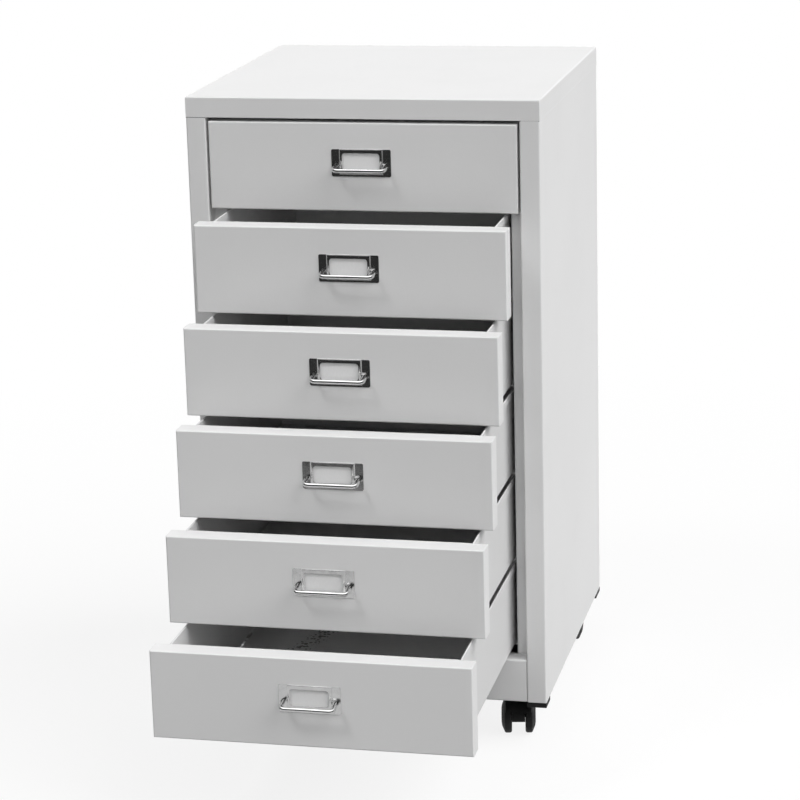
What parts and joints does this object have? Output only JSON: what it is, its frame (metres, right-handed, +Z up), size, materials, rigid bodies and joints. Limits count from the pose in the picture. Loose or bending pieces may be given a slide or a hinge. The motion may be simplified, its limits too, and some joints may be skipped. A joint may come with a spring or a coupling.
{
  "type": "drawer cabinet",
  "caption": "White sheet-steel drawer cabinet on casters, with shallow drawers in a fan of steps and chrome label-holder pulls.",
  "frame": {"origin": "centre of the bounding box in plan, on the floor under the wheels", "axes": "+Z up, the drawers open towards -Y, +X to the right of someone facing the cabinet"},
  "size_m": [0.38, 0.6938, 0.7155],
  "materials": {
    "white_paint": "semi-gloss white powder coat",
    "tray_paint": "satin white powder coat on thin sheet",
    "chrome": "bright chrome plate",
    "card": "plain matt card",
    "black_plastic": "moulded black nylon",
    "wheel_plastic": "moulded black nylon tread",
    "plated_steel": "zinc plated"
  },
  "bodies": {
    "cabinet": {"top_panel": "white_paint", "left_side_panel": "white_paint", "right_side_panel": "white_paint", "back_panel": "white_paint", "bottom_panel": "white_paint", "front_plinth": "white_paint", "left_runners": "tray_paint", "right_runners": "tray_paint", "panel_screws": "plated_steel", "corner_caps": "black_plastic", "caster_stems": "plated_steel", "caster_nuts": "plated_steel"},
    "drawer_1": {"drawer_1_tray": "tray_paint", "drawer_1_front": "white_paint", "drawer_1_label_holder": "chrome", "drawer_1_card": "card", "drawer_1_pull": "chrome"},
    "drawer_2": {"drawer_2_tray": "tray_paint", "drawer_2_front": "white_paint", "drawer_2_label_holder": "chrome", "drawer_2_card": "card", "drawer_2_pull": "chrome"},
    "drawer_3": {"drawer_3_tray": "tray_paint", "drawer_3_front": "white_paint", "drawer_3_label_holder": "chrome", "drawer_3_card": "card", "drawer_3_pull": "chrome"},
    "drawer_4": {"drawer_4_tray": "tray_paint", "drawer_4_front": "white_paint", "drawer_4_label_holder": "chrome", "drawer_4_card": "card", "drawer_4_pull": "chrome"},
    "drawer_5": {"drawer_5_tray": "tray_paint", "drawer_5_front": "white_paint", "drawer_5_label_holder": "chrome", "drawer_5_card": "card", "drawer_5_pull": "chrome"},
    "drawer_6": {"drawer_6_tray": "tray_paint", "drawer_6_front": "white_paint", "drawer_6_label_holder": "chrome", "drawer_6_card": "card", "drawer_6_pull": "chrome"},
    "front_left_caster": {"front_left_hood": "black_plastic", "front_left_axle": "plated_steel"},
    "front_left_outer_wheel": {"front_left_outer_wheel": "wheel_plastic"},
    "front_left_inner_wheel": {"front_left_inner_wheel": "wheel_plastic"},
    "front_right_caster": {"front_right_hood": "black_plastic", "front_right_axle": "plated_steel"},
    "front_right_outer_wheel": {"front_right_outer_wheel": "wheel_plastic"},
    "front_right_inner_wheel": {"front_right_inner_wheel": "wheel_plastic"},
    "rear_left_caster": {"rear_left_hood": "black_plastic", "rear_left_axle": "plated_steel"},
    "rear_left_outer_wheel": {"rear_left_outer_wheel": "wheel_plastic"},
    "rear_left_inner_wheel": {"rear_left_inner_wheel": "wheel_plastic"},
    "rear_right_caster": {"rear_right_hood": "black_plastic", "rear_right_axle": "plated_steel"},
    "rear_right_outer_wheel": {"rear_right_outer_wheel": "wheel_plastic"},
    "rear_right_inner_wheel": {"rear_right_inner_wheel": "wheel_plastic"}
  },
  "joints": [
    {"name": "drawer_1_slide", "type": "slide", "parent": "cabinet", "child": "drawer_1", "axis": [0, -1, 0], "range_m": [0, 0.3]},
    {"name": "drawer_2_slide", "type": "slide", "parent": "cabinet", "child": "drawer_2", "axis": [0, -1, 0], "range_m": [-0.068, 0.232]},
    {"name": "drawer_3_slide", "type": "slide", "parent": "cabinet", "child": "drawer_3", "axis": [0, -1, 0], "range_m": [-0.12, 0.18]},
    {"name": "drawer_4_slide", "type": "slide", "parent": "cabinet", "child": "drawer_4", "axis": [0, -1, 0], "range_m": [-0.162, 0.138]},
    {"name": "drawer_5_slide", "type": "slide", "parent": "cabinet", "child": "drawer_5", "axis": [0, -1, 0], "range_m": [-0.213, 0.087]},
    {"name": "drawer_6_slide", "type": "slide", "parent": "cabinet", "child": "drawer_6", "axis": [0, -1, 0], "range_m": [-0.284, 0.016]},
    {"name": "front_left_swivel", "type": "hinge", "parent": "cabinet", "child": "front_left_caster", "pos_m": [-0.148, 0.01435, 0.03], "axis": [0, 0, 1], "continuous": true},
    {"name": "front_left_outer_wheel_spin", "type": "hinge", "parent": "front_left_caster", "child": "front_left_outer_wheel", "pos_m": [-0.15078, -0.00141, 0.02], "axis": [0.9848, -0.1736, 0], "continuous": true},
    {"name": "front_left_inner_wheel_spin", "type": "hinge", "parent": "front_left_caster", "child": "front_left_inner_wheel", "pos_m": [-0.15078, -0.00141, 0.02], "axis": [0.9848, -0.1736, 0], "continuous": true},
    {"name": "front_right_swivel", "type": "hinge", "parent": "cabinet", "child": "front_right_caster", "pos_m": [0.148, 0.01435, 0.03], "axis": [0, 0, 1], "continuous": true},
    {"name": "front_right_outer_wheel_spin", "type": "hinge", "parent": "front_right_caster", "child": "front_right_outer_wheel", "pos_m": [0.15078, -0.00141, 0.02], "axis": [0.9848, 0.1736, 0], "continuous": true},
    {"name": "front_right_inner_wheel_spin", "type": "hinge", "parent": "front_right_caster", "child": "front_right_inner_wheel", "pos_m": [0.15078, -0.00141, 0.02], "axis": [0.9848, 0.1736, 0], "continuous": true},
    {"name": "rear_left_swivel", "type": "hinge", "parent": "cabinet", "child": "rear_left_caster", "pos_m": [-0.156, 0.28635, 0.03], "axis": [0, 0, 1], "continuous": true},
    {"name": "rear_left_outer_wheel_spin", "type": "hinge", "parent": "rear_left_caster", "child": "rear_left_outer_wheel", "pos_m": [-0.156, 0.30235, 0.02], "axis": [1, 0, 0], "continuous": true},
    {"name": "rear_left_inner_wheel_spin", "type": "hinge", "parent": "rear_left_caster", "child": "rear_left_inner_wheel", "pos_m": [-0.156, 0.30235, 0.02], "axis": [1, 0, 0], "continuous": true},
    {"name": "rear_right_swivel", "type": "hinge", "parent": "cabinet", "child": "rear_right_caster", "pos_m": [0.156, 0.28635, 0.03], "axis": [0, 0, 1], "continuous": true},
    {"name": "rear_right_outer_wheel_spin", "type": "hinge", "parent": "rear_right_caster", "child": "rear_right_outer_wheel", "pos_m": [0.156, 0.30235, 0.02], "axis": [1, 0, 0], "continuous": true},
    {"name": "rear_right_inner_wheel_spin", "type": "hinge", "parent": "rear_right_caster", "child": "rear_right_inner_wheel", "pos_m": [0.156, 0.30235, 0.02], "axis": [1, 0, 0], "continuous": true}
  ]
}
